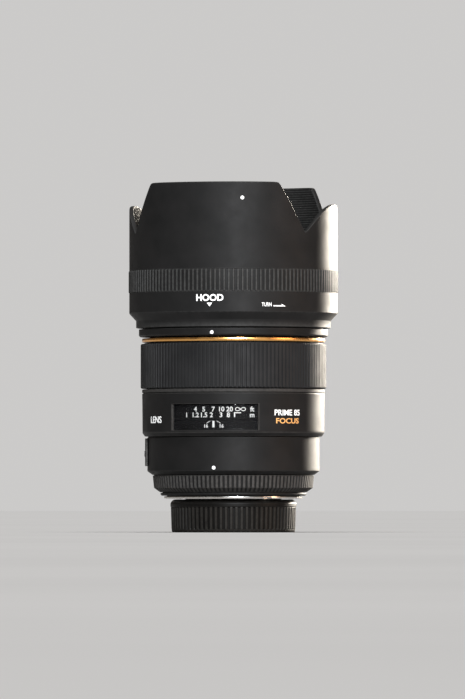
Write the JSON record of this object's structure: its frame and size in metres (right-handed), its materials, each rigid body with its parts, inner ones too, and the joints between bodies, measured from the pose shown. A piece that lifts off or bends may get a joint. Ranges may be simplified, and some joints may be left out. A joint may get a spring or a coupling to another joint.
{
  "type": "camera lens",
  "caption": "Prime camera lens on its rear cap: ribbed focus ring, distance window, bayonet mount, iris, glass groups and a petal hood.",
  "frame": {"origin": "centre of the foot of the rear cap, on the optical axis", "axes": "+Z along the optical axis towards the front of the lens; the index marks face -Y"},
  "size_m": [0.0956, 0.0956, 0.1584],
  "materials": {
    "barrel_black": "satin black paint with a fine grain",
    "hood_plastic": "fine matte black, grooved inside",
    "grip_rubber": "matt ribbed rubber",
    "cap_plastic": "satin black moulded plastic",
    "switch_plastic": "satin moulded plastic",
    "accent_gold": "orange-gold anodised, turned",
    "mount_metal": "bright plated brass, finely turned",
    "scale_black": "matt black with white figures",
    "window_pane": "clear dark-edged plastic pane",
    "mark_white": "white fill, matt",
    "mark_orange": "orange-gold fill, matt",
    "optical_glass": "polished and coated",
    "inner_black": "flat anti-reflection black",
    "inner_metal": "machined",
    "inner_brass": "machined",
    "blade_metal": "burnished black",
    "circuit_green": "solder mask"
  },
  "bodies": {
    "barrel": {"mount_plate": "mount_metal", "mount_seat_ring": "barrel_black", "contact_block": "inner_black", "rear_baffle": "inner_black", "rear_grip_ring": "barrel_black", "lower_barrel": "barrel_black", "circuit_board": "circuit_green", "switch_plate": "barrel_black", "main_barrel": "barrel_black", "distance_window": "window_pane", "index_plate": "scale_black", "accent_ring": "accent_gold", "front_ring": "barrel_black", "filter_ring": "barrel_black", "front_plate": "barrel_black", "element_retainer": "inner_black", "front_cell": "inner_black", "element_1": "optical_glass", "element_2": "optical_glass", "element_3": "optical_glass", "element_4": "optical_glass", "motor_stator": "inner_brass", "guide_tube": "inner_metal", "iris_base": "inner_black", "iris_cover": "inner_black"},
    "focus_ring": {"focus_ring": "barrel_black", "focus_grip": "grip_rubber", "manual_drive_ring": "inner_brass"},
    "cam": {"cam_tube": "inner_metal", "distance_drum": "scale_black", "roller_ring": "inner_brass"},
    "rotor": {"motor_rotor": "inner_metal"},
    "focus_cell": {"focus_cell": "inner_black", "rear_retainer": "inner_black", "element_5": "optical_glass", "element_6": "optical_glass", "element_7": "optical_glass", "element_8": "optical_glass", "element_9": "optical_glass", "element_10": "optical_glass", "element_11": "optical_glass", "cam_follower_1": "inner_brass", "cam_follower_2": "inner_brass", "cam_follower_3": "inner_brass"},
    "aperture": {"aperture_ring": "inner_metal"},
    "mode_switch": {"focus_mode_switch": "switch_plastic"},
    "hood": {"lens_hood": "hood_plastic"},
    "rear_cap": {"rear_cap": "cap_plastic"},
    "focus_roller_1": {"focus_roller_1": "inner_metal"},
    "focus_roller_2": {"focus_roller_2": "inner_metal"},
    "focus_roller_3": {"focus_roller_3": "inner_metal"},
    "iris_blade_1": {"iris_blade_1": "blade_metal"},
    "iris_blade_2": {"iris_blade_2": "blade_metal"},
    "iris_blade_3": {"iris_blade_3": "blade_metal"},
    "iris_blade_4": {"iris_blade_4": "blade_metal"},
    "iris_blade_5": {"iris_blade_5": "blade_metal"},
    "iris_blade_6": {"iris_blade_6": "blade_metal"},
    "iris_blade_7": {"iris_blade_7": "blade_metal"},
    "iris_blade_8": {"iris_blade_8": "blade_metal"},
    "iris_blade_9": {"iris_blade_9": "blade_metal"}
  },
  "joints": [
    {"name": "focus_turn", "type": "hinge", "parent": "barrel", "child": "focus_ring", "pos_m": [0, 0, 0.0757], "axis": [0, 0, 1], "range_deg": [-27.4, 54]},
    {"name": "cam_turn", "type": "hinge", "parent": "barrel", "child": "cam", "pos_m": [0, 0, 0.0555], "axis": [0, 0, 1], "range_deg": [-13.7, 27]},
    {"name": "rotor_turn", "type": "hinge", "parent": "barrel", "child": "rotor", "pos_m": [0, 0, 0.0719], "axis": [0, 0, 1], "range_deg": [-27.4, 54]},
    {"name": "focus_slide", "type": "slide", "parent": "barrel", "child": "focus_cell", "axis": [0, 0, 1], "range_m": [-0.00303, 0.00597]},
    {"name": "aperture_turn", "type": "hinge", "parent": "barrel", "child": "aperture", "pos_m": [0, 0, 0.061], "axis": [0, 0, 1], "range_deg": [0, 18]},
    {"name": "switch_slide", "type": "slide", "parent": "barrel", "child": "mode_switch", "axis": [0, 0, 1], "range_m": [0, 0.003]},
    {"name": "hood_turn", "type": "hinge", "parent": "barrel", "child": "hood", "pos_m": [0, 0, 0.0948], "axis": [0, 0, 1], "range_deg": [0, 45]},
    {"name": "cap_turn", "type": "hinge", "parent": "barrel", "child": "rear_cap", "pos_m": [0, 0, 0.0075], "axis": [0, 0, 1], "range_deg": [0, 60]},
    {"name": "roller_turn_1", "type": "hinge", "parent": "cam", "child": "focus_roller_1", "pos_m": [0, -0.0332, 0.0759], "axis": [0, -1, 0], "range_deg": [-498.5, 253.2]},
    {"name": "roller_turn_2", "type": "hinge", "parent": "cam", "child": "focus_roller_2", "pos_m": [0.02875, 0.0166, 0.0759], "axis": [0.866, 0.5, 0], "range_deg": [-498.5, 253.2]},
    {"name": "roller_turn_3", "type": "hinge", "parent": "cam", "child": "focus_roller_3", "pos_m": [-0.02875, 0.0166, 0.0759], "axis": [-0.866, 0.5, 0], "range_deg": [-498.5, 253.2]},
    {"name": "blade_turn_1", "type": "hinge", "parent": "barrel", "child": "iris_blade_1", "pos_m": [0.0243, 0, 0.06298], "axis": [0, 0, 1], "range_deg": [-39.4, 0]},
    {"name": "blade_turn_2", "type": "hinge", "parent": "barrel", "child": "iris_blade_2", "pos_m": [0.01861, 0.01562, 0.06327], "axis": [0, 0, 1], "range_deg": [-39.4, 0]},
    {"name": "blade_turn_3", "type": "hinge", "parent": "barrel", "child": "iris_blade_3", "pos_m": [0.00422, 0.02393, 0.06358], "axis": [0, 0, 1], "range_deg": [-39.4, 0]},
    {"name": "blade_turn_4", "type": "hinge", "parent": "barrel", "child": "iris_blade_4", "pos_m": [-0.01215, 0.02104, 0.06388], "axis": [0, 0, 1], "range_deg": [-39.4, 0]},
    {"name": "blade_turn_5", "type": "hinge", "parent": "barrel", "child": "iris_blade_5", "pos_m": [-0.02284, 0.00831, 0.06417], "axis": [0, 0, 1], "range_deg": [-39.4, 0]},
    {"name": "blade_turn_6", "type": "hinge", "parent": "barrel", "child": "iris_blade_6", "pos_m": [-0.02284, -0.00831, 0.06448], "axis": [0, 0, 1], "range_deg": [-39.4, 0]},
    {"name": "blade_turn_7", "type": "hinge", "parent": "barrel", "child": "iris_blade_7", "pos_m": [-0.01215, -0.02104, 0.06477], "axis": [0, 0, 1], "range_deg": [-39.4, 0]},
    {"name": "blade_turn_8", "type": "hinge", "parent": "barrel", "child": "iris_blade_8", "pos_m": [0.00422, -0.02393, 0.06507], "axis": [0, 0, 1], "range_deg": [-39.4, 0]},
    {"name": "blade_turn_9", "type": "hinge", "parent": "barrel", "child": "iris_blade_9", "pos_m": [0.01861, -0.01562, 0.06538], "axis": [0, 0, 1], "range_deg": [-39.4, 0]}
  ],
  "couplings": [
    {"joint": "cam_turn", "follows": "focus_turn", "ratio": 0.5},
    {"joint": "focus_slide", "follows": "focus_turn", "m_per_rad": 0.00633},
    {"joint": "roller_turn_1", "follows": "focus_turn", "ratio": -9.2222},
    {"joint": "roller_turn_2", "follows": "focus_turn", "ratio": -9.2222},
    {"joint": "roller_turn_3", "follows": "focus_turn", "ratio": -9.2222},
    {"joint": "blade_turn_1", "follows": "aperture_turn", "ratio": -2.188},
    {"joint": "blade_turn_2", "follows": "aperture_turn", "ratio": -2.188},
    {"joint": "blade_turn_3", "follows": "aperture_turn", "ratio": -2.188},
    {"joint": "blade_turn_4", "follows": "aperture_turn", "ratio": -2.188},
    {"joint": "blade_turn_5", "follows": "aperture_turn", "ratio": -2.188},
    {"joint": "blade_turn_6", "follows": "aperture_turn", "ratio": -2.188},
    {"joint": "blade_turn_7", "follows": "aperture_turn", "ratio": -2.188},
    {"joint": "blade_turn_8", "follows": "aperture_turn", "ratio": -2.188},
    {"joint": "blade_turn_9", "follows": "aperture_turn", "ratio": -2.188}
  ]
}
